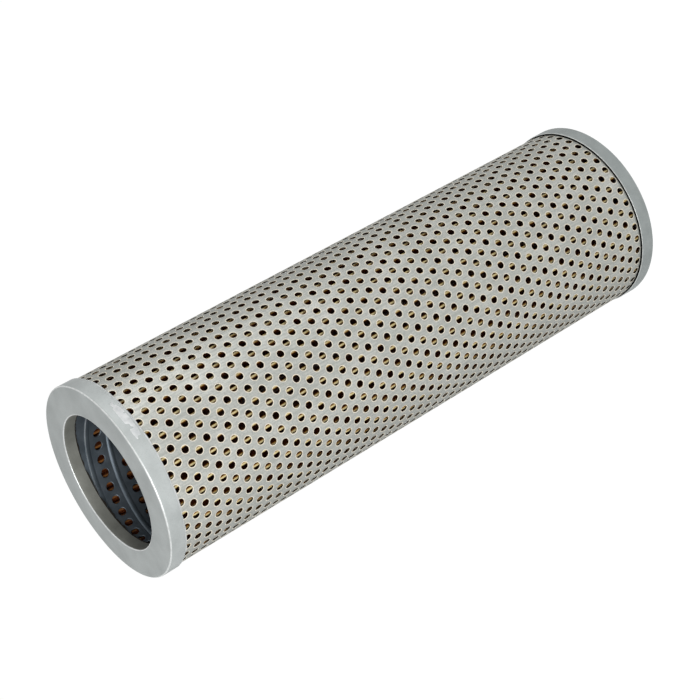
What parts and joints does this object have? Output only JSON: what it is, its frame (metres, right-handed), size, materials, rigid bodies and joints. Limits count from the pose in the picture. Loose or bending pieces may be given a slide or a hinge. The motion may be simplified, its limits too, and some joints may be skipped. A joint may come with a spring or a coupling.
{
  "type": "hydraulic filter",
  "caption": "Cylindrical hydraulic filter element with pleated paper between a perforated steel tube and a wound core tube, closed by open steel end caps.",
  "frame": {"origin": "centre of the lower end cap's outer face", "axes": "+Z along the element's axis from the lower to the upper end cap; +Y towards the tube's lap seam"},
  "size_m": [0.08, 0.08, 0.255],
  "materials": {
    "cap_steel": "pressed plated sheet steel, satin",
    "tube_steel": "perforated plated sheet steel, satin",
    "core_steel": "wound perforated strip steel, satin",
    "clip_steel": "folded strip steel",
    "filter_paper": "resin-treated pleated filter paper",
    "adhesive": "cured end adhesive"
  },
  "bodies": {
    "root": {"lower_end_cap": "cap_steel", "upper_end_cap": "cap_steel", "lower_adhesive": "adhesive", "upper_adhesive": "adhesive", "outer_tube": "tube_steel", "pleated_paper": "filter_paper", "seam_clip": "clip_steel", "core_tube": "core_steel"}
  },
  "joints": []
}
